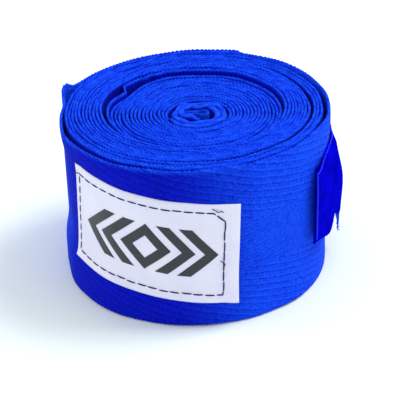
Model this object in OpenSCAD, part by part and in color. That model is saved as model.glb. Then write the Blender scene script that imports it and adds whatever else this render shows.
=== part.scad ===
// Hand wrap, rolled up: one long cotton tape wound on itself, standing on its
// lower edge, with a woven label and a hook-and-loop closure on the outside
// and the thumb loop put away in the core.
// Millimetres. Z is the axis of the roll, and Z = 0 is the surface it stands on.
// Seen from above the tape winds outward clockwise.

/* [Tape] */
// Width of the tape, which is the height of the roll
tape_w = 50.8; // [44:0.2:56]
// Length of the wound tape, laid out flat
tape_len = 4572; // [4200:1:4900]
// Thickness of the woven tape
tape_t = 0.9; // [0.7:0.05:0.95]
// Outside radius of the roll at the end of its last fixed turn
roll_r = 39.6; // [38.6:0.1:40.6]
// Radius of the hollow at the middle of the roll
core_r = 3.9; // [3.8:0.1:4]

/* [Outer turn] */
// Direction of the line where the loose outer turn leaves the roll
outer_a = 140; // [130:1:150]
// Direction of the line where the folded tape end begins
end_a = 65; // [60:1:75]
// Radial play between the loose outer turn and the roll
loose_gap = 0.3; // [0.25:0.05:0.4]
// Height of the loose edges above the surface that the roll stands on
edge_lift = 0.4; // [0.3:0.1:1]

/* [Closure] */
// Width of the hook tape and of the loop patch
strap_w = 25.4; // [20:0.2:28]
// Height of the middle of the hook tape
strap_z = 26.4; // [25:0.1:28]
// Direction of the free end of the hook tape
strap_free_a = -34; // [-38:1:-30]
// Direction where the hook tape begins, sewn on the folded tape end
strap_root_a = 44; // [40:1:48]
// Thickness of the backing of the hook tape
strap_t = 0.8; // [0.6:0.05:1]
// Height of the hooks
hook_h = 0.5; // [0.3:0.05:0.6]
// Thickness of the folded tape end
fold_t = 1.4; // [1.3:0.05:1.6]
// How far the pointed corner of the fold hangs below the hook tape
tail_drop = 5; // [3:0.5:7]

/* [Label] */
// Width of the label around the roll
label_w = 53.4; // [46:0.2:58]
// Height of the label
label_h = 31.6; // [26:0.2:34]
// Height of the middle of the label
label_z = 25.6; // [24:0.1:27]
// Direction of the middle of the label
label_a = -111.6; // [-116:0.1:-106]
// Thickness of the label
label_t = 0.35; // [0.25:0.05:0.5]
// How far the label was sewn out of square with the tape
label_lean = 5.5; // [0:0.5:7]

/* [Thumb loop] */
// Width of the narrow tape that the thumb loop is made of
loop_w = 12; // [10:0.5:16]
// Thickness of the narrow tape
loop_t = 1; // [0.8:0.1:1.2]
// Half of the slit inside the pressed loop
loop_slit = 0.8; // [0.6:0.1:0.8]
// How deep the loop sits below the top of the roll
loop_sink = 2; // [1:0.5:6]

/* [Stitches] */
// Thickness of the sewing thread
thread_d = 0.3; // [0.2:0.05:0.4]
// Length of one stitch
stitch_len = 2.9; // [2:0.1:4]
// Distance from one stitch to the next
stitch_step = 3.6; // [3:0.1:5]

/* [Hidden] */
$fn = 96;

// The tape winds in by one pitch a turn, as half rings whose centres alternate
// between the axis of the roll and a point half a pitch to its side. Half the
// pitch is rounded, so that the ends of the half rings meet exactly.
pitch = PI * (pow(roll_r, 2) - pow(core_r, 2)) / tape_len;
half_pitch = round(10000 * pitch / 2) / 10000;
half_turns = floor((roll_r - tape_t - core_r) / half_pitch);
// Outside radius of the turn that lies under the loose outer turn
under_r = roll_r - half_pitch;

// Layers on top of that turn, from the inside out
turn_in = under_r + loose_gap;
turn_out = turn_in + tape_t;
fold_out = turn_in + fold_t;
strap_out = fold_out + strap_t;
hook_in = fold_out - hook_h;
patch_out = hook_in - loose_gap;

// Angles that leave a slit at each line where the tape flexes
slit_a = 0.5;
outer_end_a = outer_a - slit_a;
// Where the folded tape end stops and where its taper reaches the hook tape
fold_stop_a = 17;
fold_narrow_a = 27;
// The loop patch and the field of hooks that grips it
patch_a = [-30, 13];
hook_a = [-27, 10];
hook_w = strap_w - 5.4;
// Half the length of the pressed thumb loop, and the length of the bar tack across it
loop_half_len = core_r - 0.1;
tack_len = 3;
seam_inset = 1.6;
stitch_thin = 0.15;

// The label's half width as an angle, and the emblem woven into it
label_half_a = label_w / roll_r * 90 / PI;
// Rings that are cut to shape afterwards reach this many degrees past the shape
spare_a = 5;
emblem_t = 0.1;
emblem_h = 15;
first_chevron = 10.5;
chevron_step = 6.4;

// Frame of the turn that lies under the loose outer turn
module under_turn() {
  rotate([0, 0, outer_a]) translate([-half_pitch, 0, 0]) rotate([0, 0, -outer_a]) children();
}

// A block that follows the roll, from direction a0 to a1 and from z0 to z1
module arc_block(r_in, r_out, a0, a1, z0, z1) {
  rotate([0, 0, a0])
    rotate_extrude(angle = a1 - a0)
      translate([r_in, z0]) square([r_out - r_in, z1 - z0]);
}

// A rectangle of stitches inside the edges a0, a1, z0 and z1. It is sewn out of
// square by lean degrees: each stitch is shifted down as it is further round.
module stitched_box(r, t, a0, a1, z0, z1, lean = 0) {
  inset_a = seam_inset / r * 180 / PI;
  mid_a = (a0 + a1) / 2;
  step_a = stitch_step / r * 180 / PI;
  long_a = stitch_len / r * 180 / PI;
  wide_a = thread_d / r * 180 / PI;
  around = floor((a1 - a0 - 4 * inset_a) / step_a);
  up = floor((z1 - z0 - 2 * seam_inset) / stitch_step);
  for (z = [z0 + seam_inset, z1 - seam_inset], i = [0:around - 1]) {
    a = mid_a + (i - (around - 1) / 2) * step_a;
    low = z - drop(r, a - mid_a, lean) - thread_d / 2;
    arc_block(r, r + t, a - long_a / 2, a + long_a / 2, low, low + thread_d);
  }
  for (a = [a0 + inset_a, a1 - inset_a], i = [0:up - 1]) {
    low = (z0 + z1) / 2 + (i - (up - 1) / 2) * stitch_step - drop(r, a - mid_a, lean) - stitch_len / 2;
    arc_block(r, r + t, a - wide_a / 2, a + wide_a / 2, low, low + stitch_len);
  }
}

// How far a line that leans by lean degrees drops over an angle a round the roll
function drop(r, a, lean) = r * sin(a) * tan(lean);

// A flat outline set upright and pushed out of the axis in direction a
module pushed_out(a) {
  rotate([0, 0, a + 90]) rotate([90, 0, 0]) linear_extrude(height = 2 * roll_r) children();
}

// The wound tape, a true spiral
module tape_roll() {
  color("#1340dc")
  rotate([0, 0, outer_a])
    for (i = [0:half_turns])
      translate([i % 2 == 0 ? 0 : -half_pitch, 0, 0])
        rotate([0, 0, i % 2 == 0 ? 0 : 180])
          rotate_extrude(angle = 180)
            translate([roll_r - i * half_pitch - tape_t, 0]) square([tape_t, tape_w]);
}

// The thumb loop, folded flat in the core
module thumb_loop() {
  color("#1a48e0")
  translate([0, 0, tape_w - loop_w - loop_sink])
    linear_extrude(height = loop_w)
      difference() {
        flat_ring(loop_half_len, loop_t + loop_slit);
        flat_ring(loop_half_len - loop_t, loop_slit);
      }
}

// A ring outline pressed flat: half_len along X, half_w along Y
module flat_ring(half_len, half_w) {
  square([2 * (half_len - half_w), 2 * half_w], center = true);
  for (s = [-1, 1]) translate([s * (half_len - half_w), 0]) circle(r = half_w);
}

// The bar tack across the thumb loop
module thumb_loop_stitching() {
  color("#0b1c8c")
  for (inner_y = [loop_t + loop_slit, -loop_t - loop_slit - stitch_thin], i = [0:3])
    translate([-tack_len / 2, inner_y, tape_w - loop_w + i])
      cube([tack_len, stitch_thin, thread_d]);
}

// The woven label, on the last fixed turn, sewn a little out of square
module label() {
  color("#dcdef5")
  intersection() {
    arc_block(
      roll_r, roll_r + label_t,
      label_a - label_half_a - spare_a, label_a + label_half_a + spare_a, 1, tape_w - 1
    );
    pushed_out(label_a)
      translate([0, label_z]) rotate(-label_lean)
        square([2 * roll_r * sin(label_half_a), label_h], center = true);
  }
}

// The emblem on the label: a diamond between two pairs of chevrons
module label_emblem() {
  color("#20242c") {
    woven_figure(0) diamond(emblem_h / 2);
    for (side = [-1, 1], i = [0:1])
      woven_figure(side * (first_chevron + i * chevron_step)) chevron(emblem_h / 2, side);
  }
}

// One figure of the emblem, at a distance x round from the middle of the label
module woven_figure(x) {
  face_r = roll_r + label_t;
  a = x / face_r * 180 / PI;
  half_a = emblem_h / face_r * 180 / PI;
  intersection() {
    arc_block(face_r, face_r + emblem_t, label_a + a - half_a, label_a + a + half_a, 1, tape_w - 1);
    pushed_out(label_a + a)
      translate([0, label_z - drop(face_r, a, label_lean)]) rotate(-label_lean) children();
  }
}

// A diamond with a diamond cut out of it
module diamond(h) {
  difference() {
    polygon([[h, 0], [0, h], [-h, 0], [0, -h]]);
    polygon([[h / 2, 0], [0, h / 2], [-h / 2, 0], [0, -h / 2]]);
  }
}

// A chevron that points to +X, or to -X where side is -1
module chevron(h, side) {
  bar = side * h / 2;
  polygon([[bar, 0], [0, h], [-bar, h], [0, 0], [-bar, -h], [0, -h]]);
}

// The seam around the label
module label_stitching() {
  color("#141c78")
  stitched_box(
    roll_r + label_t, thread_d,
    label_a - label_half_a, label_a + label_half_a,
    label_z - label_h / 2, label_z + label_h / 2,
    label_lean
  );
}

// The soft loop patch on the roll, under the hook tape
module loop_patch() {
  color("#0d14b4")
  under_turn()
    arc_block(under_r, patch_out, patch_a[0], patch_a[1], strap_z - strap_w / 2, strap_z + strap_w / 2);
}

// The seam around the loop patch
module loop_patch_stitching() {
  color("#141c78")
  under_turn()
    stitched_box(
      patch_out, stitch_thin,
      patch_a[0], patch_a[1],
      strap_z - strap_w / 2, strap_z + strap_w / 2
    );
}

// The last stretch of full-width tape, which lifts off the roll
module outer_turn() {
  color("#1746e4")
  under_turn()
    arc_block(turn_in, turn_out, end_a + slit_a, outer_end_a, edge_lift, tape_w - edge_lift);
}

// The end of the tape, its corners folded in to the width of the hook tape,
// with one pointed corner left hanging below it
module tape_end() {
  mid_a = (end_a + fold_stop_a) / 2;
  // Distances along the tape, positive towards the loose outer turn. The outline
  // reaches a little past both ends of the ring that it cuts.
  start_u = 1.1 * turn_out * sin(end_a - mid_a);
  narrow_u = turn_out * sin(fold_narrow_a - mid_a);
  tail_u = -start_u;
  low_z = strap_z - strap_w / 2;
  high_z = strap_z + strap_w / 2;
  color("#1440d8")
  under_turn()
    intersection() {
      arc_block(turn_in, fold_out, fold_stop_a, end_a - slit_a, edge_lift, tape_w - edge_lift);
      pushed_out(mid_a)
        polygon([
          [start_u, edge_lift], [start_u, tape_w - edge_lift],
          [narrow_u, high_z], [tail_u, high_z],
          [tail_u, low_z - tail_drop], [narrow_u, low_z - 1]
        ]);
    }
}

// The hook tape: a smooth backing sewn on the folded end, its free end loose
module hook_tape() {
  color("#0c0bcf")
  under_turn()
    arc_block(fold_out, strap_out, strap_free_a, strap_root_a, strap_z - strap_w / 2, strap_z + strap_w / 2);
}

// The hooks on the inner face of the hook tape
module hook_field() {
  color("#0a0a9c")
  under_turn()
    arc_block(hook_in, fold_out, hook_a[0], hook_a[1], strap_z - hook_w / 2, strap_z + hook_w / 2);
}

// The seam that sews the hook tape to the folded end
module hook_tape_stitching() {
  color("#141c78")
  under_turn()
    stitched_box(
      strap_out, thread_d,
      fold_stop_a, strap_root_a,
      strap_z - strap_w / 2, strap_z + strap_w / 2
    );
}

tape_roll();
thumb_loop();
thumb_loop_stitching();
label();
label_emblem();
label_stitching();
loop_patch();
loop_patch_stitching();
outer_turn();
tape_end();
hook_tape();
hook_field();
hook_tape_stitching();
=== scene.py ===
"""A rolled hand wrap: one herringbone cotton tape wound on itself, with a woven label
sewn on the outside, a hook-and-loop closure and the thumb loop put away in the core.

Lengths are in millimetres and angles in degrees until a mesh is made. An angle called
polar goes round the roll, counter-clockwise from +X seen from above. An angle called phi
follows the tape: it is 0 where the loose outer turn leaves the roll, grows towards the
core and is negative along the loose end.
"""

import math

import bpy
import numpy as np
from mathutils import Matrix, Vector


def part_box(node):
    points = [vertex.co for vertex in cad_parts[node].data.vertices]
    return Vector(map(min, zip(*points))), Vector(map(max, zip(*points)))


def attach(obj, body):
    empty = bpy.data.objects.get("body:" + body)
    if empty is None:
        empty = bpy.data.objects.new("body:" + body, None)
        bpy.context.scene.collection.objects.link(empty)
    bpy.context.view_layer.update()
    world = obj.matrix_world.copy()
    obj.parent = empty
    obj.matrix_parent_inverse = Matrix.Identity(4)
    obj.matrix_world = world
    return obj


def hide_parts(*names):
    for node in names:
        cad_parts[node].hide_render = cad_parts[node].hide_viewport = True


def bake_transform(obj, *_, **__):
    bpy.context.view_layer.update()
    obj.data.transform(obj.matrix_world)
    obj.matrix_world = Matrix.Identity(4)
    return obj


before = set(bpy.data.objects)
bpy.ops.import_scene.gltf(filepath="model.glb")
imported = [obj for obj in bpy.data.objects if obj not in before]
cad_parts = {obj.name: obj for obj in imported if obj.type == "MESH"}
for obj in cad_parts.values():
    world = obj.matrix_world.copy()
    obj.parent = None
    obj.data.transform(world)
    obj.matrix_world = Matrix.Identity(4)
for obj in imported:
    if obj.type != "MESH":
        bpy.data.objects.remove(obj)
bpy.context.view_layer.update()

MM = 0.001

# The tape and how it is wound
TAPE_W = 50.8
TAPE_T = 0.86
PITCH = 1.067
HALF_PITCH = PITCH / 2
START_R = 39.35
OUTER_A = 140
LOOSE_LIFT = 0.6
COLUMN = 0.33
SCALLOP = 1.3

# Where one tape piece ends and the next begins, as phi
FACE_START = 12
FACE_END = 372
LOOSE_END = -40
TAIL_TIP = -141
CORE_PHI = 9790

# Where the tape steps across the groove behind the outermost turn, the one round the
# recessed middle and the one between them, as phi, and how deep the middle is recessed
GROOVE_0 = 300
GROOVE_1 = 4326
GROOVE_2 = 1500
RECESS = 2.0

# The corner that stands up at the rim, as phi
DOG_EAR = 22

# The stretch of phi over which the shapes of the last fixed turn fade out
FACE_FADE = (290, 350)

# Where the foot of the last fixed turn stands out: polar angle, half width in degrees,
# distance out, and the heights between which it fades
FEET = (
    (178, 34, 1.5, 8, 19),
    (-38, 34, 0.9, 2, 15),
    (-130, 30, 1.3, 0, 15),
)

# The folded core of the roll
SWIRL_T = 1.95
SWIRL_TURN = 2.05
SWIRL_END = 800

# The closure, as polar angles and heights
STRAP_LOW = 13.7
STRAP_HIGH = 39.1
STRAP_T = 0.8
STRAP_R = 41.17
STRAP_FREE = -34
STRAP_ROOT = 44
FOLD_WIDE = 64
FOLD_NARROW = 27
FOLD_STOP = 17
HOOK_RANGE = (-27, 10)
HOOK_COLUMNS = 19
HOOK_ROWS = 14
HOOK_OUT = 0.42
HOOK_ASIDE = 0.256
PATCH_RANGE = (-30, 13)
PATCH_R = 39.6
PATCH_HIGH = 0.55
PILE_COLUMNS = 26
PILE_ROWS = 22
STRAP_SEAM_INSET = 1.6
PATCH_SEAM_INSET = 1.4

# The weave: the width of one herringbone band, the slant of its ribs and the rounded radius of
# the cloth. Painted shade makes it a deeper blue towards one side, between two shares of that.
BAND = 17.0
SLANT = 15
CLOTH_R = 40
PAINTED_SHADE_SIDE = (-0.574, -0.819)
PAINTED_SHADE_REACH = (0.4, 0.95)

# The label's corners: polar angle and height
LABEL_LOW_LEFT = (-152.2, 12.4)
LABEL_HIGH_LEFT = (-147.6, 44.2)
LABEL_HIGH_RIGHT = (-72.4, 38.9)
LABEL_LOW_RIGHT = (-74.2, 7.5)
LABEL_W = 53.4
LABEL_H = 31.6
LABEL_T = 0.3
EMBLEM_HALF = 7.5
CHEVRON_FEET = (8.7, 15.1)

# The camera and the lights
CAMERA_DOWN = 29.26
CAMERA_FAR = 390.3
CAMERA_ROLL = -1.70
CAMERA_LENS = 116.1
WORLD_LIGHT = 0.74
KEY_LIGHT = 7.0
LEFT_LIGHT = 1.2
FRONT_LIGHT = 0.4


# ---- Shapes as functions ----

def smooth(x, start, end):
    """0 before start, 1 after end, and a smooth rise between them."""
    t = np.clip((x - start) / (end - start), 0, 1)
    return t * t * (3 - 2 * t)


def hump(polar, middle, width):
    """A smooth hump round the roll, 1 high at its middle."""
    away = (polar - middle + 180) % 360 - 180
    return np.exp(-((away / width) ** 2))


def ripple(x, wavelength, seed):
    """An uneven wave between about -1 and 1."""
    rng = np.random.default_rng(seed)
    total = np.zeros_like(np.asarray(x, float))
    for _ in range(5):
        stretch = rng.uniform(0.6, 1.6)
        total += np.sin(2 * math.pi * (x / (wavelength * stretch) + rng.uniform()))
    return total / 2.2


def tape_length(phi):
    """Distance along the tape from phi 0, towards the core."""
    turn = np.radians(phi)
    return START_R * turn - PITCH * turn ** 2 / (4 * math.pi)


def under_shift(polar):
    """How far the turns under the closure stand off the roll's axis."""
    return -HALF_PITCH * np.cos(np.radians(polar - OUTER_A))


def centre_radius(phi):
    """Radius of the middle of the tape's thickness. Where a groove opens, the turns
    inside it sit closer to the core, and the tape steps across it at one place."""
    polar = OUTER_A + phi
    radius = START_R - PITCH * phi / 360
    radius = radius + LOOSE_LIFT * (1 - smooth(phi, -110, 0))
    flat_left = 0.9 * hump(polar, 176, 26) * np.exp(-np.maximum(phi, 0) / 2400)
    radius = radius - flat_left

    inside_0 = smooth(phi, GROOVE_0 - 20, GROOVE_0 + 20) * (1 - smooth(phi, GROOVE_0, GROOVE_0 + 1500))
    radius = radius - inside_0 * 0.75 * hump(polar, -55, 44)
    inside_2 = smooth(phi, GROOVE_2 - 20, GROOVE_2 + 20) * (1 - smooth(phi, GROOVE_2, GROOVE_2 + 2600))
    radius = radius - inside_2 * (1.15 * hump(polar, 24, 36) + 0.9 * hump(polar, -52, 36))
    inside_1 = smooth(phi, GROOVE_1 - 5, GROOVE_1 + 5)
    to_core = np.clip((phi - GROOVE_1) / (CORE_PHI - GROOVE_1), 0, 1)
    disc_edge = 0.4 + 0.75 * hump(polar, -145, 50) + 2.4 * hump(polar, 147, 17)
    core_edge = 1.35 - 1.5 * np.cos(np.radians(polar + 45))
    radius = radius - inside_1 * (disc_edge * (1 - to_core) + core_edge * to_core)

    wavy = 0.08 * ripple(tape_length(phi), 17, 1)
    crumple = 0.5 * hump(polar, 120, 13) * np.exp(-(((phi - GROOVE_1 + 180) / 260) ** 2))
    return radius + wavy + crumple * np.sin(np.radians(phi * 30))


def lean(phi, z):
    """Extra radius of the tape at height z: rounded rim, dog-ear, flares and bulges."""
    polar = OUTER_A + phi
    outer = np.exp(-np.maximum(phi, 0) / 900.0)
    rim = -1.25 * outer * (0.08 + 0.92 * hump(polar, -75, 60)) * smooth(z, 44.5, 51.5)

    ear = np.exp(-(((phi - DOG_EAR) / 8.5) ** 2)) * (2.3 * smooth(z, 40, 48) + 0.3 * smooth(z, 20, 40))
    left_flare = 1.0 * hump(polar, -160, 26) * smooth(z, 41, 50) * smooth(phi, 20, 45)
    right_flare = 1.1 * hump(polar, 14, 30) * smooth(z, 38, 49)
    slow = 0.2 * np.sin(np.radians(3 * polar + 2.2 * z)) + 0.14 * np.sin(np.radians(7 * polar - 4.1 * z))
    face = ear + left_flare + right_flare + slow
    for foot, width, out, low, high in FEET:
        face = face + out * hump(polar, foot, width) * (1 - smooth(z, low, high))
    return rim + (1 - smooth(phi, *FACE_FADE)) * face


def top_edge(phi):
    """Height of the tape's upper edge, with its scalloped selvedge."""
    polar = OUTER_A + phi
    length = tape_length(phi)
    low_front = 1.25 * np.exp(-np.maximum(phi, 0) / 420.0) * (0.05 + 0.95 * hump(polar, -80, 70))
    middle = RECESS * smooth(phi, GROOVE_1 - 330, GROOVE_1 + 420)
    beside_groove = 0.7 * np.exp(-(((phi - GROOVE_2) / 500) ** 2)) * hump(polar, 22, 60)
    high_back = 1.3 * hump(polar, 52, 34) * np.exp(-np.maximum(phi - 200, 0) / 500)
    height = TAPE_W - 0.1 - low_front - middle - beside_groove + high_back

    ear = 1.75 * np.exp(-(((phi - DOG_EAR) / 4.8) ** 4))
    low_left = 0.8 * hump(polar, -135, 30) * smooth(phi, 30, 60)
    height = height + (1 - smooth(phi, *FACE_FADE)) * (ear - low_left)

    uneven = 0.12 * ripple(length, 23, 2)
    groups_of_turns = 0.3 * ripple(phi / 360, 4.4, 6) * smooth(phi, 200, 700)
    scallops = np.sin(2 * math.pi * length / SCALLOP + 1.3 * ripple(length, 9, 3))
    return height + uneven + groups_of_turns + 0.15 * scallops


def bottom_edge(phi):
    """Height of the tape's lower edge, on or just above the table."""
    length = tape_length(phi)
    height = 0.35 + 0.2 * ripple(length, 21, 4) + 0.08 * np.sin(2 * math.pi * length / SCALLOP)
    return np.maximum(height, 0.05)


def face_radius(polar, z):
    """Radius of the outer face of the last fixed turn."""
    phi = (polar - OUTER_A) % 360
    return centre_radius(phi) + lean(phi, z) + TAPE_T / 2


# ---- Meshes ----

def on_roll(radius, polar, z):
    """Points in the frame, in metres, from radius, polar angle and height."""
    a = np.radians(polar)
    return np.stack([radius * np.cos(a), radius * np.sin(a), z + 0 * radius], axis=-1) * MM


def new_mesh(name, points, quads, uv=None):
    """A smooth mesh object; uv holds one pair for each point, in millimetres of cloth."""
    mesh = bpy.data.meshes.new(name)
    mesh.from_pydata(points.tolist(), [], quads.tolist())
    if uv is not None:
        layer = mesh.uv_layers.new(name="cloth")
        corners = np.zeros(len(mesh.loops), np.int64)
        mesh.loops.foreach_get("vertex_index", corners)
        layer.data.foreach_set("uv", uv[corners].astype(np.float32).ravel())
    mesh.shade_smooth()
    mesh.update()
    piece = bpy.data.objects.new(name, mesh)
    bpy.context.scene.collection.objects.link(piece)
    return piece


def slab_parts(outer, inner, ring=False):
    """Points and quads of a closed slab between two grids of points. The grids' first
    direction runs counter-clockwise and their second one up; a ring joins its two ends."""
    rows, levels = outer.shape[:2]
    points = np.concatenate([outer.reshape(-1, 3), inner.reshape(-1, 3)])
    index = np.arange(rows * levels).reshape(rows, levels)
    if ring:
        index = np.concatenate([index, index[:1]])
    under = index + rows * levels
    quads = [
        (index[:-1, :-1], index[1:, :-1], index[1:, 1:], index[:-1, 1:]),
        (under[:-1, :-1], under[:-1, 1:], under[1:, 1:], under[1:, :-1]),
        (index[:-1, -1], index[1:, -1], under[1:, -1], under[:-1, -1]),
        (under[:-1, 0], under[1:, 0], index[1:, 0], index[:-1, 0]),
    ]
    if not ring:
        quads.append((index[0, :-1], index[0, 1:], under[0, 1:], under[0, :-1]))
        quads.append((under[-1, :-1], under[-1, 1:], index[-1, 1:], index[-1, :-1]))
    faces = [np.stack([corner.ravel() for corner in quad], axis=1) for quad in quads]
    return points, np.concatenate(faces)


def slab(name, outer, inner, u, v, ring=False):
    """A closed slab object whose two faces carry cloth coordinates u and v."""
    points, quads = slab_parts(outer, inner, ring)
    uv = np.stack([u.ravel(), v.ravel()], axis=1)
    return new_mesh(name, points, quads, np.concatenate([uv, uv]))


def edge_levels(middle):
    """Shares of a cloth's width, close together at both edges, and how full the cloth is there."""
    near_edge = [0, 0.003, 0.01, 0.022]
    shares = near_edge + list(np.linspace(0.05, 0.95, middle)) + [1 - x for x in reversed(near_edge)]
    full = [0.3, 0.65, 0.92, 1.04] + [1.0] * middle + [1.04, 0.92, 0.65, 0.3]
    return np.array(shares), np.array(full)


def tape_piece(name, phi_from, phi_to, column, middle):
    """A stretch of the wound tape between two values of phi."""
    count = int((tape_length(phi_to) - tape_length(phi_from)) / column) + 1
    lengths = np.linspace(tape_length(phi_from), tape_length(phi_to), count)
    table = np.linspace(phi_from - 1, phi_to + 1, 8 * count)
    phi = np.interp(lengths, tape_length(table), table)[:, None]
    share, full = edge_levels(middle)
    low, high = bottom_edge(phi), top_edge(phi)
    z = low + share[None, :] * (high - low)
    bumpy = 1 + 0.16 * np.sin(2 * math.pi * tape_length(phi) / SCALLOP + 1.5) * smooth(z, TAPE_W - 6, TAPE_W)
    half = TAPE_T / 2 * full[None, :] * bumpy
    radius = centre_radius(phi) + lean(phi, z)
    polar = OUTER_A + phi + 0 * z
    u = tape_length(phi) + 0 * z
    v = TAPE_W * share[None, :] + 0 * z
    return slab(name, on_roll(radius + half, polar, z), on_roll(radius - half, polar, z), u, v)


def tube_parts(path, thick, sides=6):
    """Points and faces of a round thread of radius thick along a path of points in metres."""
    path = np.asarray(path, float)
    along = np.gradient(path, axis=0)
    along /= np.linalg.norm(along, axis=1)[:, None] + 1e-12
    helper = np.where(np.abs(along[:, 2:3]) > 0.9, [[1.0, 0, 0]], [[0, 0, 1.0]])
    side = np.cross(along, helper)
    side /= np.linalg.norm(side, axis=1)[:, None] + 1e-12
    other = np.cross(along, side)
    turn = np.linspace(0, 2 * math.pi, sides, endpoint=False)
    thick = thick * np.ones(len(path)) * MM
    ring = side[:, None] * np.cos(turn)[None, :, None] + other[:, None] * np.sin(turn)[None, :, None]
    points = (path[:, None] + ring * thick[:, None, None]).reshape(-1, 3)
    index = np.arange(len(points)).reshape(len(path), sides)
    after = np.roll(index, -1, axis=1)
    quads = np.stack([index[:-1].ravel(), after[:-1].ravel(), after[1:].ravel(), index[1:].ravel()], axis=1)
    faces = quads.tolist() + [index[0][::-1].tolist(), index[-1].tolist()]
    return points, faces


def joined(name, parts):
    """One smooth object from many (points, faces) parts."""
    points = []
    faces = []
    count = 0
    for part_points, part_faces in parts:
        points.extend(part_points.tolist())
        faces.extend([i + count for i in face] for face in part_faces)
        count += len(part_points)
    mesh = bpy.data.meshes.new(name)
    mesh.from_pydata(points, [], faces)
    mesh.shade_smooth()
    mesh.update()
    piece = bpy.data.objects.new(name, mesh)
    bpy.context.scene.collection.objects.link(piece)
    return piece


# ---- Materials ----

class Shader:
    """A material being put together from nodes."""

    def __init__(self, name, roughness, **uniform):
        self.material = bpy.data.materials.new(name)
        self.material.use_nodes = True
        self.tree = self.material.node_tree
        self.surface = self.tree.nodes["Principled BSDF"]
        self.surface.inputs["Roughness"].default_value = roughness
        for socket, value in uniform.items():
            self.surface.inputs[socket.replace("_", " ")].default_value = value

    def node(self, kind, **settings):
        made = self.tree.nodes.new(kind)
        for key, value in settings.items():
            setattr(made, key, value)
        return made

    def feed(self, socket, value):
        if isinstance(value, bpy.types.NodeSocket):
            self.tree.links.new(value, socket)
        else:
            socket.default_value = value

    def math(self, operation, *values):
        made = self.node("ShaderNodeMath", operation=operation)
        for socket, value in zip(made.inputs, values):
            self.feed(socket, value)
        return made.outputs[0]

    def add(self, a, b):
        return self.math("ADD", a, b)

    def times(self, a, b):
        return self.math("MULTIPLY", a, b)

    def wave(self, phase):
        """A wave from 0 to 1 that repeats each time phase grows by 1."""
        return self.math("MULTIPLY_ADD", self.math("SINE", self.times(phase, 2 * math.pi)), 0.5, 0.5)

    def cloth(self):
        """Distances along and across the cloth, in millimetres."""
        split = self.node("ShaderNodeSeparateXYZ")
        self.tree.links.new(self.node("ShaderNodeUVMap", uv_map="cloth").outputs[0], split.inputs[0])
        return split.outputs[0], split.outputs[1]

    def plain_weave(self, thread, along, step=0.5):
        """Waves across and along a weave, shifted by a step from thread to thread."""
        u, v = self.cloth()
        row = self.times(v, 1 / thread)
        stagger = self.times(self.math("FLOOR", row), step)
        return self.wave(row), self.wave(self.add(self.times(u, 1 / along), stagger))

    def place(self):
        return self.node("ShaderNodeTexCoord").outputs["Object"]

    def directions(self):
        """Position on the roll in millimetres, as three values."""
        split = self.node("ShaderNodeSeparateXYZ")
        self.tree.links.new(self.place(), split.inputs[0])
        return [self.times(value, 1 / MM) for value in split.outputs]

    def ramp(self, value, start, end):
        """0 before start, 1 after end, and a smooth rise between them."""
        made = self.node("ShaderNodeMapRange", interpolation_type="SMOOTHSTEP")
        self.feed(made.inputs["Value"], value)
        made.inputs["From Min"].default_value = start
        made.inputs["From Max"].default_value = end
        return made.outputs["Result"]

    def noise(self, per_mm, detail=3.0, where=None):
        """Noise from 0 to 1 with about per_mm blotches in a millimetre."""
        made = self.node("ShaderNodeTexNoise")
        self.feed(made.inputs["Vector"], where or self.place())
        made.inputs["Scale"].default_value = per_mm / MM
        made.inputs["Detail"].default_value = detail
        return made.outputs["Fac"]

    def mix(self, share, low, high):
        made = self.node("ShaderNodeMix", data_type="RGBA")
        self.feed(made.inputs["Factor"], share)
        for socket, value in ((made.inputs[6], low), (made.inputs[7], high)):
            self.feed(socket, value if isinstance(value, bpy.types.NodeSocket) else (*value, 1))
        return made.outputs[2]

    def finish(self, colour, height, depth_mm):
        self.feed(self.surface.inputs["Base Color"], colour)
        bump = self.node("ShaderNodeBump")
        bump.inputs["Distance"].default_value = depth_mm * MM
        self.feed(bump.inputs["Height"], height)
        self.tree.links.new(bump.outputs[0], self.surface.inputs["Normal"])
        return self.material


def from_srgb(red, green, blue):
    """A linear colour from its usual 0 to 255 values."""
    return tuple((value / 255) ** 2.2 for value in (red, green, blue))


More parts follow.
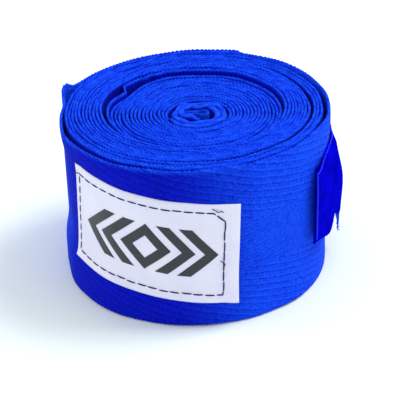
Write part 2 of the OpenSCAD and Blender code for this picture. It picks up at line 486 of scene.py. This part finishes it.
def cotton(name, light, deep, rib=2.0, yarn=0.8, band=BAND, wound=False, painted_shade=False):
    """Herringbone cotton: slanting ribs whose slant turns over from band to band. Its valleys
    take the deeper blue, partly the yarn's own tone and partly painted shade in the hollows.
    With wound it darkens away from its edges: painted shade between tight turns. The last
    flag paints a shade on one side of the roll, which turns a deeper blue there."""
    make = Shader(name, 0.9, Sheen_Weight=0.05, Sheen_Roughness=0.4, Specular_IOR_Level=0.06)
    make.surface.inputs["Sheen Tint"].default_value = (0.1, 0.3, 1.0, 1)
    u, v = make.cloth()
    stray = make.math("SUBTRACT", make.noise(0.3, 2.0), 0.5)

    # The ribs of the middle band slant the other way and lie closer together
    in_middle = make.math("MAXIMUM", make.math("MINIMUM", make.math("SUBTRACT", v, band), band), 0)
    across = make.math("MULTIPLY_ADD", in_middle, -2.7, v)
    cos, sin = math.cos(math.radians(SLANT)), math.sin(math.radians(SLANT))
    along_rib = make.math("SUBTRACT", make.times(u, cos), make.times(across, sin))
    over_rib = make.add(make.times(u, sin), make.times(across, cos))
    rib_phase = make.times(make.add(over_rib, make.times(stray, 0.7)), 1 / rib)
    stagger = make.times(make.math("FLOOR", rib_phase), 0.5)
    ribs = make.wave(rib_phase)
    fine_ribs = make.wave(make.times(rib_phase, 2))
    yarns = make.wave(make.add(make.times(along_rib, 1 / yarn), stagger))
    grain = make.times(fine_ribs, make.math("MULTIPLY_ADD", yarns, 0.7, 0.3))
    fuzz = make.times(make.noise(1.3, 4.0), 0.5 if wound else 0.95)
    height = make.add(make.add(make.times(ribs, 0.17), make.times(grain, 0.3)), fuzz)

    patchy = make.times(make.math("SUBTRACT", make.noise(0.07, 2.0), 0.5), 0.35 if wound else 0.3)
    # The weave's valleys take the deeper blue: partly the yarn's own tone, partly painted shade in the
    # hollows of the weave.
    shade = make.math("MULTIPLY_ADD", height, 1.4, -0.06 if wound else -0.42)
    soft = make.node("ShaderNodeClamp")
    make.feed(soft.inputs[0], make.add(shade, patchy))
    colour = make.mix(soft.outputs[0], deep, light)
    if wound:
        # Painted shade between tight turns: the tape darkens to a deep blue away from its edges.
        from_edge = make.math("MINIMUM", v, make.math("SUBTRACT", TAPE_W, v))
        colour = make.mix(make.ramp(from_edge, 0.15, 0.95), colour, from_srgb(5, 18, 165))
    if painted_shade:
        # Painted shade: a deeper blue over the front left of the roll, below the rim.
        east, north, up = make.directions()
        to_east, to_north = PAINTED_SHADE_SIDE
        reach = make.add(make.times(east, to_east / CLOTH_R), make.times(north, to_north / CLOTH_R))
        below_rim = make.math("SUBTRACT", 1, make.ramp(up, 48.2, 49.8))
        share = make.times(make.ramp(reach, *PAINTED_SHADE_REACH), make.times(below_rim, 0.92))
        deeper = make.mix(soft.outputs[0], from_srgb(4, 2, 135), from_srgb(12, 16, 208))
        colour = make.mix(share, colour, deeper)
    return make.finish(colour, height, 0.14)


def thread_yarn(name, light, deep):
    """Twisted sewing thread."""
    make = Shader(name, 0.7, Specular_IOR_Level=0.15)
    twist = make.noise(2.6, 4.0)
    return make.finish(make.mix(twist, deep, light), twist, 0.08)


def satin(name):
    """The label's satin weave: fine warp lines, woven floats and a little grey wear."""
    make = Shader(name, 0.42, Sheen_Weight=0.25, Specular_IOR_Level=0.45)
    lines, floats = make.plain_weave(0.42, 0.9, 0.4)
    weave = make.times(lines, make.math("MULTIPLY_ADD", floats, 0.35, 0.65))
    worn = make.noise(0.12, 4.0)
    colour = make.mix(worn, from_srgb(206, 208, 240), from_srgb(236, 232, 250))
    colour = make.mix(make.times(weave, 0.3), colour, from_srgb(250, 250, 255))
    return make.finish(colour, weave, 0.05)


def emblem_weave(name):
    """Charcoal yarn woven into the label."""
    make = Shader(name, 0.62, Sheen_Weight=0.25)
    lines = make.wave(make.times(make.cloth()[1], 1 / 0.5))
    grain = make.noise(1.2, 3.0)
    height = make.add(make.times(lines, 0.7), make.times(grain, 0.4))
    return make.finish(make.mix(height, from_srgb(16, 18, 24), from_srgb(44, 50, 60)), height, 0.07)


def nylon(name):
    """The smooth backing of the hook tape: a tight plain weave."""
    make = Shader(name, 0.85, Specular_IOR_Level=0.0)
    weft, warp = make.plain_weave(0.75, 1.0)
    weave = make.times(weft, make.math("MULTIPLY_ADD", warp, 0.6, 0.4))
    fuzz = make.noise(0.9, 4.0)
    height = make.add(make.times(weave, 0.6), make.times(fuzz, 0.6))
    patchy = make.times(make.math("SUBTRACT", make.noise(0.16, 3.0), 0.5), 1.2)
    colour = make.mix(make.add(height, patchy), from_srgb(5, 3, 125), from_srgb(17, 17, 232))
    return make.finish(colour, height, 0.12)


def plastic(name, light, deep, roughness):
    """Moulded or extruded nylon, such as the hooks and the pile."""
    make = Shader(name, roughness, Specular_IOR_Level=0.1)
    grain = make.noise(1.5, 3.0)
    return make.finish(make.mix(grain, deep, light), grain, 0.05)


def paint(piece, material):
    piece.data.materials.append(material)
    return piece


# ---- The wound tape ----

def core_swirl():
    """The first, folded stretch of the tape, which curls round the thumb loop."""
    phi = np.linspace(CORE_PHI, CORE_PHI + SWIRL_END, 330)[:, None]
    turn = phi - CORE_PHI
    polar = OUTER_A + phi
    beside = centre_radius(CORE_PHI - 360 + turn)
    outside_gap = 0.15 + 0.45 * hump(polar, -95, 45)
    radius = beside - TAPE_T / 2 - SWIRL_T / 2 - outside_gap - (SWIRL_TURN - PITCH) * turn / 360
    share, full = edge_levels(7)
    inward = smooth(turn, 330, SWIRL_END)
    radius = radius * (1 + 0.14 * inward * np.cos(np.radians(2 * (polar + 25))))
    high = TAPE_W - RECESS - 0.2 + 0.35 * ripple(turn / 12, 7, 5) + 0.5 * smooth(turn, 380, SWIRL_END)
    low = 0.5
    z = low + share[None, :] * (high - low)
    taper = 0.25 + 0.75 * smooth(turn, 0, 26) - 0.4 * smooth(turn, SWIRL_END - 20, SWIRL_END)
    bumpy = 1 + 0.1 * np.sin(turn / 3.1)
    half = SWIRL_T / 2 * full[None, :] * taper * bumpy
    u = np.radians(turn) * 7 + 0 * z
    v = TAPE_W * share[None, :] + 0 * z
    polar = polar + 0 * z
    return slab("core_swirl", on_roll(radius + half, polar, z), on_roll(radius - half, polar, z), u, v)


def thumb_loop():
    """The narrow tape of the thumb loop, pressed into a flat ring in the core."""
    low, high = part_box("thumb_loop")
    middle = (0.9, -0.7)
    around = np.linspace(0, 2 * math.pi, 90, endpoint=False)[:, None]
    share, full = edge_levels(6)
    z = low.z / MM + share[None, :] * (high.z - low.z) / MM + 0.25 * np.sin(3 * around)
    half = 0.42 * full[None, :] * (1 + 0.06 * np.sin(11 * around))
    squeeze = 1 + 0.12 * np.cos(2 * around + 0.6)

    def ring(offset):
        x = (2.9 * squeeze + offset) * np.cos(around)
        y = (1.25 + offset) * np.sin(around) + 0.35 * np.sin(2 * around)
        return np.stack([x + middle[0], y + middle[1], z], axis=-1) * MM

    u = around * 2.6 + 0 * z
    return slab("thumb_loop_tape", ring(half), ring(-half), u, z, ring=True)


def thumb_loop_tack():
    """The bar tack across the thumb loop."""
    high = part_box("thumb_loop")[1].z / MM
    parts = []
    for side in (-1, 1):
        for i in range(5):
            x = np.linspace(-0.7, 2.3, 8)
            y = -0.7 + side * (1.72 + 0.12 * np.sin(np.linspace(0, math.pi, 8)))
            z = high - 1.2 - 0.55 * i + 0.1 * np.sin(x * 2)
            parts.append(tube_parts(np.stack([x, y, z], axis=1) * MM, 0.14))
    return joined("thumb_loop_tack", parts)


# ---- The label ----

def label_place(x, y):
    """Polar angle and height of a point x right and y up from the label's middle."""
    a = np.clip(0.5 + x / LABEL_W, 0, 1)
    b = np.clip(0.5 + y / LABEL_H, 0, 1)
    corners = (LABEL_LOW_LEFT, LABEL_LOW_RIGHT, LABEL_HIGH_LEFT, LABEL_HIGH_RIGHT)
    weights = ((1 - a) * (1 - b), a * (1 - b), (1 - a) * b, a * b)
    polar = sum(w * corner[0] for w, corner in zip(weights, corners))
    z = sum(w * corner[1] for w, corner in zip(weights, corners))
    return polar, z


def label_radius(x, y):
    """Radius of the label's inner face; its free border lifts a little."""
    polar, z = label_place(x, y)
    beyond = smooth(x, LABEL_W / 2 - 5, LABEL_W / 2)
    lift = beyond * (0.25 + 0.55 * smooth(-y, 4, LABEL_H / 2))
    lift = lift + 0.35 * smooth(-x, LABEL_W / 2 - 2.5, LABEL_W / 2) * (0.4 + 0.6 * smooth(y, 5, LABEL_H / 2))
    lift = lift + 0.3 * smooth(-y, LABEL_H / 2 - 2.2, LABEL_H / 2)
    quilt = 0.14 * np.cos(math.pi * x / (LABEL_W - 6)) * np.cos(math.pi * y / (LABEL_H - 4))
    return face_radius(polar, z) + 0.06 + lift + quilt + 0.05 * np.sin(x / 2.1 + y / 3.0)


def label_cloth():
    half_w, half_h = LABEL_W / 2, LABEL_H / 2
    x = np.linspace(-half_w, half_w, 120)[:, None]
    y = np.linspace(-half_h, half_h, 70)[None, :]
    x, y = x + 0 * y, y + 0 * x
    polar, z = label_place(x, y)
    radius = label_radius(x, y)
    border = np.minimum(half_w - np.abs(x), half_h - np.abs(y))
    thick = LABEL_T * (1 + 0.5 * (1 - smooth(border, 2.6, 3.0))) * (0.4 + 0.6 * smooth(border, 0, 0.35))
    return slab("label_cloth", on_roll(radius + thick, polar, z), on_roll(radius, polar, z), x, y)


def on_label(x, y, above):
    polar, z = label_place(x, y)
    return on_roll(label_radius(x, y) + LABEL_T + above, polar, z)


def diamond_outline():
    """The grid of a diamond with a diamond cut out of it, as a ring."""
    turn = np.linspace(0, 2 * math.pi, 96, endpoint=False)[:, None]
    size = EMBLEM_HALF * np.linspace(1, 0.5, 8)[None, :]
    reach = size / (np.abs(np.cos(turn)) + np.abs(np.sin(turn)))
    return reach * np.cos(turn), reach * np.sin(turn)


def chevron(side, foot):
    """The grid of a chevron that points away from the middle of the label."""
    up = np.linspace(-1, 1, 61)[None, :] * EMBLEM_HALF
    across = np.linspace(0, EMBLEM_HALF / 2, 9)[:, None]
    x = foot + across - np.abs(up) + 0.25 * EMBLEM_HALF
    y = up + 0 * across
    return (x, y) if side > 0 else (-x[::-1], y)


def emblem():
    """A diamond outline between two pairs of chevrons."""
    grids = [(*diamond_outline(), True)]
    for side in (-1, 1):
        for foot in CHEVRON_FEET:
            grids.append((*chevron(side, foot), False))
    points = []
    quads = []
    uv = []
    for x, y, ring in grids:
        part_points, part_quads = slab_parts(on_label(x, y, 0.1), on_label(x, y, -0.12), ring)
        quads.append(part_quads + sum(len(p) for p in points))
        points.append(part_points)
        uv.append(np.tile(np.stack([x.ravel(), y.ravel()], axis=1), (2, 1)))
    return new_mesh("label_figures", np.concatenate(points), np.concatenate(quads), np.concatenate(uv))


# ---- Sewing ----

def seam(path, surface, step=3.2, stitch=2.95, thick=0.21, jitter=0.0, seed=7):
    """Stitches along a path of (x, y) points; surface turns (x, y, above) into points."""
    rng = np.random.default_rng(seed)
    path = np.asarray(path, float)
    gaps = np.linalg.norm(np.diff(path, axis=0), axis=1)
    at = np.concatenate([[0], np.cumsum(gaps)])
    count = int(at[-1] / step)
    parts = []
    for i in range(count):
        start = (i + 0.1) * at[-1] / count
        run = np.linspace(start, start + stitch, 9)
        x = np.interp(run, at, path[:, 0]) + rng.normal(0, jitter)
        y = np.interp(run, at, path[:, 1]) + rng.normal(0, jitter)
        rise = np.sin(np.linspace(0, math.pi, 9)) ** 0.6
        parts.append(tube_parts(surface(x, y, 0.28 * rise - 0.1), thick))
    return parts


def loose_end(start, heading, length, surface, seed):
    """A short curling end of thread."""
    rng = np.random.default_rng(seed)
    x, y = start
    points = []
    for i in range(14):
        points.append((x, y, 0.1 + 0.5 * math.sin(i / 13 * math.pi)))
        heading += rng.normal(0, 22)
        x += length / 14 * math.cos(math.radians(heading))
        y += length / 14 * math.sin(math.radians(heading))
    x, y, above = np.array(points).T
    return tube_parts(surface(x, y, above), 0.12)


def label_seam():
    right = LABEL_W / 2 - 4.4
    left = -LABEL_W / 2 + 2.0
    high = LABEL_H / 2 - 2.6
    low = -LABEL_H / 2 + 2.6
    outline = [(left, low), (left, high), (right - 3.2, high), (right, high - 2.6), (right, low), (left, low)]
    parts = seam(outline, on_label, jitter=0.09)
    parts.append(loose_end((left, high), 150, 3.2, on_label, 11))
    parts.append(loose_end((right - 0.6, high + 0.2), 120, 4.0, on_label, 12))
    parts.append(loose_end((right, -4), 70, 3.0, on_label, 13))
    return joined("label_seam", parts)


# ---- The loose end of the tape ----

def end_outline(phi):
    """Lower and upper edge of the tape's end: folded to a taper, with one corner hanging."""
    polar = OUTER_A + phi
    key = [TAIL_TIP + OUTER_A, 1, 8, FOLD_STOP, FOLD_NARROW, FOLD_WIDE]
    low = np.interp(polar, key, [6.6, 8.2, 13.4, 14.4, 13.4, 0.5])
    high = np.interp(polar, key, [7.1, 15.0, 24.0, 38.4, 39.1, 50.3])
    before = smooth(polar, FOLD_WIDE, FOLD_WIDE + 6)
    low = low * (1 - before) + bottom_edge(phi) * before
    high = high * (1 - before) + top_edge(phi) * before
    return low, high


def tape_end():
    """The end of the tape, from the loose turn to the pointed corner."""
    count = 330
    phi = np.linspace(TAIL_TIP, LOOSE_END, count)[:, None]
    polar = OUTER_A + phi
    share, full = edge_levels(34)
    low, high = end_outline(phi)
    z = low + share[None, :] * (high - low)
    rim = np.minimum(z - low, high - z)
    folded = 0.32 * (1 - smooth(polar, FOLD_WIDE - 6, FOLD_WIDE)) * (1 - smooth(rim, 6.0, 6.8))
    thin_end = (1 - 0.4 * (1 - smooth(polar, -4, 8))) * (0.3 + 0.7 * smooth(z, 6.5, 14.5))
    half = (TAPE_T / 2 + folded) * full[None, :] * thin_end
    bulge = 2.9 * hump(polar, 2, 15) * (1 - smooth(z, 15, 24)) * smooth(z, -2, 6)
    radius = centre_radius(phi) + lean(phi, z) + bulge
    u = tape_length(phi) + 0 * z
    return slab(
        "tape_end_cloth",
        on_roll(radius + half, polar + 0 * z, z), on_roll(radius - half, polar + 0 * z, z), u, z,
    )


# ---- The closure ----

def strap_radius(polar, share):
    """Radius of the middle of the hook tape, which stands off the roll where it bends."""
    swell = 0.5 + 2.35 * smooth(1 - share, 0, 0.6) - 0.45 * smooth(0.4 - share, 0, 0.4)
    bulge = hump(polar, 5, 15) * swell
    settled = -0.5 * (1 - smooth(polar, -14, 12)) * (0.4 + 0.6 * smooth(share, 0.5, 1))
    tucked = -1.2 * smooth(share, 0.86, 1.0) * smooth(polar, STRAP_FREE, STRAP_FREE + 12)
    tucked = tucked * (1 - smooth(polar, 4, 14))
    wavy = 0.08 * np.sin(np.radians(polar * 14) + 5 * share)
    return STRAP_R + under_shift(polar) + bulge + settled + tucked + wavy


def strap_height(polar, share):
    """Height on the hook tape. Its lower edge is drawn up beside the tail and at the free
    corner, and its upper edge is pulled up where it bends round the side."""
    beside_tail = 5.0 * hump(polar, -12, 5.5) * (1 - share) ** 4
    at_corner = 3.0 * (1 - smooth(polar, STRAP_FREE, STRAP_FREE + 18)) * (1 - share) ** 2
    pulled_up = 3.4 * hump(polar, -13, 13) * share ** 3
    return STRAP_LOW + share * (STRAP_HIGH - STRAP_LOW) + beside_tail + at_corner + pulled_up


def hook_strap():
    polar = np.linspace(STRAP_FREE, STRAP_ROOT, 200)[:, None]
    share, full = edge_levels(24)
    share = share[None, :] + 0 * polar
    z = strap_height(polar, share)
    radius = strap_radius(polar, share)
    half = STRAP_T / 2 * full[None, :] * (0.55 + 0.45 * smooth(polar, STRAP_FREE, STRAP_FREE + 0.8))
    polar = polar + 0 * share
    u = np.radians(polar) * STRAP_R
    return slab("hook_tape_strap", on_roll(radius + half, polar, z), on_roll(radius - half, polar, z), u, z)


def painted_highlight_bead():
    """A light bead along the cut end of the hook tape and on along its upper edge: painted highlight."""
    up = np.linspace(0.05, 0.99, 60)
    along = np.linspace(0.5, FOLD_STOP - STRAP_FREE, 60)
    share = np.concatenate([up, 0.99 + 0 * along])
    polar = STRAP_FREE - 0.15 + np.concatenate([0.25 * np.sin(up * 9), along])
    radius = strap_radius(polar, share) + 0.2
    return joined("hook_tape_painted_highlight", [tube_parts(on_roll(radius, polar, strap_height(polar, share)), 0.22, 8)])


def on_strap(x, y, above):
    """A point x along and y up the hook tape, from the middle of its sewn part."""
    polar = (FOLD_STOP + STRAP_ROOT) / 2 + np.degrees(x / STRAP_R)
    share = 0.5 + y / (STRAP_HIGH - STRAP_LOW)
    return on_roll(strap_radius(polar, share) + STRAP_T / 2 + above, polar, strap_height(polar, share))


def seam_box(half_w, half_h):
    """The corners of a sewn box, with the first one again at the end."""
    return [(-half_w, -half_h), (half_w, -half_h), (half_w, half_h), (-half_w, half_h), (-half_w, -half_h)]


def strap_seam():
    half_w = math.radians(STRAP_ROOT - FOLD_STOP) * STRAP_R / 2 - STRAP_SEAM_INSET
    half_h = (STRAP_HIGH - STRAP_LOW) / 2 - STRAP_SEAM_INSET
    box = seam_box(half_w, half_h)
    cross = [(-half_w, -half_h), (half_w, half_h)]
    other = [(-half_w, half_h), (half_w, -half_h)]
    parts = seam(box, on_strap) + seam(cross, on_strap, seed=8) + seam(other, on_strap, seed=9)
    parts.append(loose_end((-half_w, -half_h), 200, 4, on_strap, 14))
    return joined("hook_tape_seam", parts)


def hooks():
    """Rows of small nylon hooks on the inner face of the hook tape."""
    parts = []
    first, last = HOOK_RANGE
    bend = np.linspace(0, 1, 7) * 2.3
    for i in range(HOOK_COLUMNS):
        for j in range(HOOK_ROWS):
            polar = first + (i + 0.5 * (j % 2) + 0.3) * (last - first) / HOOK_COLUMNS
            share = 0.13 + 0.74 * j / (HOOK_ROWS - 1)
            up_or_down = 1 if i % 2 else -1
            radius = strap_radius(polar, share) - STRAP_T / 2 - HOOK_OUT * np.sin(bend) + 0.04
            z = strap_height(polar, share) + up_or_down * HOOK_ASIDE * (1 - np.cos(bend))
            parts.append(tube_parts(on_roll(radius, polar + 0 * z, z), 0.09, 5))
    return joined("hook_rows", parts)


def patch_outer(polar, z):
    return face_radius(polar, z) + PATCH_HIGH


def loop_patch():
    polar = np.linspace(PATCH_RANGE[0], PATCH_RANGE[1], 90)[:, None]
    share, full = edge_levels(20)
    z = STRAP_LOW + share[None, :] * (STRAP_HIGH - STRAP_LOW) + 0 * polar
    outer = patch_outer(polar, z) - 0.16 * (1 - full[None, :])
    inner = outer - 0.4
    polar = polar + 0 * z
    u = np.radians(polar) * CLOTH_R
    return slab("loop_patch_base", on_roll(outer, polar, z), on_roll(inner, polar, z), u, z)


def pile_loops():
    """The soft loops that the hooks catch."""
    rng = np.random.default_rng(21)
    parts = []
    columns = np.linspace(PATCH_RANGE[0] + 1.6, PATCH_RANGE[1] - 1.6, PILE_COLUMNS)
    rows = np.linspace(STRAP_LOW + 1.0, STRAP_HIGH - 1.0, PILE_ROWS)
    turn = np.linspace(0, math.pi, 7)
    wide = 0.55 * np.cos(turn)
    for column in columns:
        for row in rows:
            polar = column + rng.normal(0, 0.35)
            z = row + rng.normal(0, 0.2)
            swing = rng.uniform(0, math.pi)
            radius = patch_outer(polar, z) - 0.05 + 0.34 * np.sin(turn)
            around = polar + np.degrees(wide * math.cos(swing) / PATCH_R)
            parts.append(tube_parts(on_roll(radius, around, z + wide * math.sin(swing)), 0.07, 5))
    return joined("loop_pile", parts)


def on_patch(x, y, above):
    polar = (PATCH_RANGE[0] + PATCH_RANGE[1]) / 2 + np.degrees(x / PATCH_R)
    z = (STRAP_LOW + STRAP_HIGH) / 2 + y
    return on_roll(patch_outer(polar, z) + above, polar, z)


def patch_seam():
    half_w = math.radians(PATCH_RANGE[1] - PATCH_RANGE[0]) * PATCH_R / 2 - PATCH_SEAM_INSET
    half_h = (STRAP_HIGH - STRAP_LOW) / 2 - PATCH_SEAM_INSET
    return joined("loop_patch_seam", seam(seam_box(half_w, half_h), on_patch, seed=17))


# ---- Frayed yarn ----

def frayed(name, starts, radius_of, length, seed):
    """Short stray yarns that stick out of a cut or worn edge."""
    rng = np.random.default_rng(seed)
    parts = []
    for polar, z in starts:
        heading = np.array([rng.normal(0, 0.5), rng.normal(0, 0.5), rng.uniform(0.1, 1.0)])
        at = on_roll(np.float64(radius_of(polar, z)), polar, np.float64(z))
        path = [at]
        for _ in range(7):
            heading = heading + rng.normal(0, 0.35, 3)
            path.append(path[-1] + heading / np.linalg.norm(heading) * length / 7 * MM)
        parts.append(tube_parts(path, np.linspace(0.13, 0.05, 8), 5))
    return joined(name, parts)


def rim_fray():
    """Stray yarns on the corner that stands up at the rim."""
    starts = [(OUTER_A + DOG_EAR - 6 + 0.9 * i, 51.3 - 0.05 * (i - 6) ** 2) for i in range(14)]
    return frayed("rim_fray", starts, lambda polar, z: face_radius(polar, z) - 0.4, 1.5, 31)


def tail_fray():
    """Stray yarns on the hanging corner of the tape's end."""
    starts = [(TAIL_TIP + OUTER_A + 0.3 * i, 7.3 + 0.2 * i) for i in range(7)]
    return frayed("tail_fray", starts, lambda polar, z: 43.2, 1.0, 32)


# ---- Studio ----

def floor():
    """A plain pale floor."""
    mesh = bpy.data.meshes.new("floor")
    half = 3.0
    corners = [(-half, -half, 0), (half, -half, 0), (half, half, 0), (-half, half, 0)]
    mesh.from_pydata(corners, [], [(0, 1, 2, 3)])
    piece = bpy.data.objects.new("floor", mesh)
    bpy.context.scene.collection.objects.link(piece)
    make = Shader("floor_paper", 0.9, Specular_IOR_Level=0.1)
    grain = make.noise(0.002, 1.0)
    colour = make.mix(grain, (0.87, 0.965, 0.97), (0.89, 0.975, 0.98))
    piece.data.materials.append(make.finish(colour, grain, 0.01))


def soft_light(name, place, size, power, colour=(1, 1, 1)):
    """A square soft light that faces the roll."""
    data = bpy.data.lights.new(name, "AREA")
    data.size = size
    data.energy = power
    data.color = colour
    lamp = bpy.data.objects.new(name, data)
    lamp.location = place
    towards = Vector((0, 0, 0.02)) - lamp.location
    lamp.rotation_euler = towards.to_track_quat("-Z", "Y").to_euler()
    bpy.context.scene.collection.objects.link(lamp)


def studio():
    floor()
    world = bpy.data.worlds.new("studio")
    world.use_nodes = True
    world.node_tree.nodes["Background"].inputs[0].default_value = (1.0, 1.0, 0.99, 1)
    world.node_tree.nodes["Background"].inputs[1].default_value = WORLD_LIGHT
    bpy.context.scene.world = world
    bpy.context.scene.view_settings.view_transform = "Standard"
    soft_light("key", (0.55, 0.15, 0.90), 0.45, KEY_LIGHT)
    soft_light("left", (-0.70, 0.10, 0.30), 0.30, LEFT_LIGHT)
    soft_light("front", (0.15, -0.80, 0.45), 0.45, FRONT_LIGHT)


def camera():
    """The camera looks along +Y and down on the roll, turned a little about its own axis."""
    data = bpy.data.cameras.new("camera")
    data.sensor_width = 36
    data.lens = CAMERA_LENS
    data.shift_x = 0.010
    data.shift_y = -0.046
    data.clip_start = 0.01
    eye = bpy.data.objects.new("camera", data)
    down = math.radians(CAMERA_DOWN)
    target = Vector((0, 0, 0.025))
    away = Vector((0, -math.cos(down), math.sin(down))) * CAMERA_FAR * MM
    tilt = Matrix.Rotation(math.radians(90 - CAMERA_DOWN), 4, "X")
    roll = Matrix.Rotation(math.radians(CAMERA_ROLL), 4, "Z")
    eye.matrix_world = Matrix.Translation(target + away) @ tilt @ roll
    bpy.context.scene.collection.objects.link(eye)
    bpy.context.scene.camera = eye


# ---- Assembly ----

def paint_all():
    """Makes every piece, with its material, and returns them by name."""
    blue_light = from_srgb(28, 92, 255)
    blue_deep = from_srgb(6, 26, 196)
    tape_cotton = cotton("tape_cotton", blue_light, blue_deep, painted_shade=True)
    wound_cotton = cotton("wound_cotton", blue_light, blue_deep, wound=True)
    loop_cotton = cotton(
        "loop_cotton", from_srgb(26, 84, 250), from_srgb(6, 30, 170), rib=1.4, yarn=0.6, band=6.0
    )
    thread = thread_yarn("navy_thread", from_srgb(22, 24, 120), from_srgb(6, 8, 50))
    # Painted highlight: the bead's light blue stands for the light caught by the hook tape's edge.
    painted_highlight_nylon = plastic("hook_edge_painted_highlight", from_srgb(40, 60, 250), from_srgb(16, 30, 220), 0.6)
    hook_plastic = plastic("hook_plastic", from_srgb(24, 24, 190), from_srgb(8, 8, 120), 0.35)
    pile_yarn = plastic("pile_yarn", from_srgb(26, 44, 220), from_srgb(8, 16, 140), 0.7)
    made = (
        (tape_piece("tape_wound", FACE_END, CORE_PHI, COLUMN, 2), wound_cotton, "tape"),
        (tape_piece("tape_face", FACE_START, FACE_END, 0.4, 44), tape_cotton, "tape"),
        (core_swirl(), wound_cotton, "tape"),
        (tape_piece("tape_loose", LOOSE_END, FACE_START, 0.4, 44), tape_cotton, "tape"),
        (tape_end(), tape_cotton, "tape"),
        (thumb_loop(), loop_cotton, "loop_tape"),
        (thumb_loop_tack(), thread, "thread"),
        (label_cloth(), satin("label_satin"), "label"),
        (emblem(), emblem_weave("emblem_weave"), "emblem_yarn"),
        (label_seam(), thread, "thread"),
        (loop_patch(), nylon("loop_backing"), "loop_pile"),
        (pile_loops(), pile_yarn, "loop_pile"),
        (patch_seam(), thread, "thread"),
        (hook_strap(), nylon("hook_backing"), "hook_backing"),
        (painted_highlight_bead(), painted_highlight_nylon, "hook_backing"),
        (hooks(), hook_plastic, "hooks"),
        (strap_seam(), thread, "thread"),
        (rim_fray(), tape_cotton, "tape"),
        (tail_fray(), tape_cotton, "tape"),
    )
    return {piece.name: paint(piece, material) for piece, material, slot in made}


def put_on_bodies(piece):
    """Says which CAD body each piece moves with, and which CAD nodes it stands for."""
    on_the_roll = {
        "tape_wound": ["tape_roll"],
        "tape_face": ["tape_roll"],
        "core_swirl": ["tape_roll"],
        "thumb_loop_tape": ["thumb_loop"],
        "thumb_loop_tack": ["thumb_loop_stitching"],
        "label_cloth": ["label"],
        "label_figures": ["label_emblem"],
        "label_seam": ["label_stitching"],
        "loop_patch_base": ["loop_patch"],
        "loop_pile": ["loop_patch"],
        "loop_patch_seam": ["loop_patch_stitching"],
        "rim_fray": [],
    }
    on_the_closure = {
        "hook_tape_strap": ["hook_tape"],
        "hook_tape_painted_highlight": [],
        "hook_rows": ["hook_field"],
        "hook_tape_seam": ["hook_tape_stitching"],
        "tail_fray": [],
    }
    for body, pieces in (("roll", on_the_roll), ("closure", on_the_closure)):
        for name, nodes in pieces.items():
            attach(piece[name], body)
            if nodes:
                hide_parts(*nodes)
    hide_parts("outer_turn")
    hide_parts("outer_turn", "tape_end")
    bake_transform(piece["tape_loose"], "roll", "loose_turn", start=tape_spot(FACE_START), end=tape_spot(-12))
    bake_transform(piece["tape_end_cloth"], "loose_turn", "closure", start=tape_spot(-74), end=tape_spot(-92))


def tape_spot(phi):
    """A point of the frame in the middle of the tape."""
    spot = on_roll(np.float64(centre_radius(phi)), OUTER_A + phi, np.float64(TAPE_W / 2))
    return tuple(float(x) for x in spot)


pieces = paint_all()
put_on_bodies(pieces)
studio()
camera()
